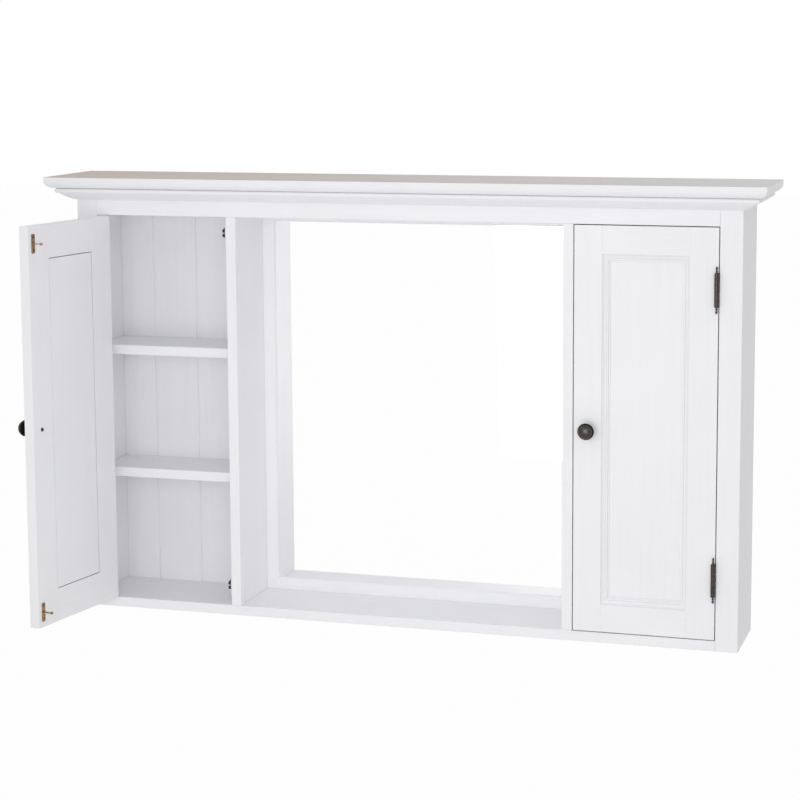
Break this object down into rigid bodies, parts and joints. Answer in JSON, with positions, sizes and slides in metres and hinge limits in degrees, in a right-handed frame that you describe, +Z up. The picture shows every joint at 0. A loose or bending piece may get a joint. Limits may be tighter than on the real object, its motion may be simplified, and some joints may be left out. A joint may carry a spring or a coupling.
{
  "type": "bathroom mirror cabinet",
  "caption": "Wall-hung cabinet of painted wood: framed mirror in a shallow niche with a sill, a shelved cupboard with a hinged panel door at each side, and a crown moulding on top.",
  "frame": {"origin": "middle of the back rail's face that lies on the wall, behind the crown", "axes": "+X along the cabinet to the right as seen from the front, +Y backwards into the wall, +Z up"},
  "size_m": [1.55, 0.4839, 0.95],
  "materials": {
    "painted_wood": "satin off-white paint",
    "mirror": "silvered glass",
    "backing": "raw hardboard",
    "screws": "dull",
    "bronze": "dark oiled bronze",
    "brass": "aged brass plate",
    "catch_steel": "painted over with the cabinet",
    "catch_black": "black"
  },
  "bodies": {
    "case": {"side_panel_left": "painted_wood", "side_panel_right": "painted_wood", "partition_left": "painted_wood", "partition_right": "painted_wood", "stile_left": "painted_wood", "stile_right": "painted_wood", "back_boards_left": "painted_wood", "back_boards_right": "painted_wood", "crown_front": "painted_wood", "crown_return_left": "painted_wood", "crown_return_right": "painted_wood", "shelf_lower_left": "painted_wood", "shelf_lower_right": "painted_wood", "shelf_upper_left": "painted_wood", "shelf_upper_right": "painted_wood", "floor_board": "painted_wood", "ceiling_board": "painted_wood", "top_board": "painted_wood", "back_rail": "painted_wood", "top_rail": "painted_wood", "hanging_battens": "painted_wood", "mirror_frame_stiles": "painted_wood", "mirror_frame_rails": "painted_wood", "mirror_glass": "mirror", "mirror_backing": "backing", "mirror_pins": "screws", "hinge_frame_leaves": "bronze", "hinge_pins": "bronze", "catch_blocks": "painted_wood", "catch_bodies": "catch_steel", "case_screws": "screws"},
    "door_left": {"door_left_hinge_stile": "painted_wood", "door_left_knob_stile": "painted_wood", "door_left_top_rail": "painted_wood", "door_left_bottom_rail": "painted_wood", "door_left_panel": "painted_wood", "door_left_moulding": "painted_wood", "door_left_hinge_leaves": "bronze", "door_left_knob": "bronze", "door_left_strikes": "brass", "door_left_screws": "screws"},
    "door_right": {"door_right_hinge_stile": "painted_wood", "door_right_knob_stile": "painted_wood", "door_right_top_rail": "painted_wood", "door_right_bottom_rail": "painted_wood", "door_right_panel": "painted_wood", "door_right_moulding": "painted_wood", "door_right_hinge_leaves": "bronze", "door_right_knob": "bronze", "door_right_strikes": "brass", "door_right_screws": "screws"},
    "arm_left_upper_top": {"catch_arm_left_upper_top": "catch_black"},
    "arm_left_upper_bottom": {"catch_arm_left_upper_bottom": "catch_black"},
    "arm_left_lower_top": {"catch_arm_left_lower_top": "catch_black"},
    "arm_left_lower_bottom": {"catch_arm_left_lower_bottom": "catch_black"},
    "arm_right_upper_top": {"catch_arm_right_upper_top": "catch_black"},
    "arm_right_upper_bottom": {"catch_arm_right_upper_bottom": "catch_black"},
    "arm_right_lower_top": {"catch_arm_right_lower_top": "catch_black"},
    "arm_right_lower_bottom": {"catch_arm_right_lower_bottom": "catch_black"}
  },
  "joints": [
    {"name": "left_door_hinge", "type": "hinge", "parent": "case", "child": "door_left", "pos_m": [-0.671, -0.1925, -0.472], "axis": [0, 0, -1], "range_deg": [-99.6, 70.4]},
    {"name": "right_door_hinge", "type": "hinge", "parent": "case", "child": "door_right", "pos_m": [0.671, -0.1925, -0.472], "axis": [0, 0, 1], "range_deg": [0, 170]},
    {"name": "catch_left_upper_top", "type": "hinge", "parent": "case", "child": "arm_left_upper_top", "pos_m": [-0.3965, -0.129, -0.077], "axis": [-1, 0, 0], "range_deg": [0, 7], "stiffness_Nm_per_rad": 0.5, "springref_deg": -8.59},
    {"name": "catch_left_upper_bottom", "type": "hinge", "parent": "case", "child": "arm_left_upper_bottom", "pos_m": [-0.3965, -0.129, -0.097], "axis": [1, 0, 0], "range_deg": [0, 7], "stiffness_Nm_per_rad": 0.5, "springref_deg": -8.59},
    {"name": "catch_left_lower_top", "type": "hinge", "parent": "case", "child": "arm_left_lower_top", "pos_m": [-0.3965, -0.129, -0.851], "axis": [-1, 0, 0], "range_deg": [0, 7], "stiffness_Nm_per_rad": 0.5, "springref_deg": -8.59},
    {"name": "catch_left_lower_bottom", "type": "hinge", "parent": "case", "child": "arm_left_lower_bottom", "pos_m": [-0.3965, -0.129, -0.871], "axis": [1, 0, 0], "range_deg": [0, 7], "stiffness_Nm_per_rad": 0.5, "springref_deg": -8.59},
    {"name": "catch_right_upper_top", "type": "hinge", "parent": "case", "child": "arm_right_upper_top", "pos_m": [0.3965, -0.129, -0.077], "axis": [-1, 0, 0], "range_deg": [0, 7], "stiffness_Nm_per_rad": 0.5, "springref_deg": -8.59},
    {"name": "catch_right_upper_bottom", "type": "hinge", "parent": "case", "child": "arm_right_upper_bottom", "pos_m": [0.3965, -0.129, -0.097], "axis": [1, 0, 0], "range_deg": [0, 7], "stiffness_Nm_per_rad": 0.5, "springref_deg": -8.59},
    {"name": "catch_right_lower_top", "type": "hinge", "parent": "case", "child": "arm_right_lower_top", "pos_m": [0.3965, -0.129, -0.851], "axis": [-1, 0, 0], "range_deg": [0, 7], "stiffness_Nm_per_rad": 0.5, "springref_deg": -8.59},
    {"name": "catch_right_lower_bottom", "type": "hinge", "parent": "case", "child": "arm_right_lower_bottom", "pos_m": [0.3965, -0.129, -0.871], "axis": [1, 0, 0], "range_deg": [0, 7], "stiffness_Nm_per_rad": 0.5, "springref_deg": -8.59}
  ]
}
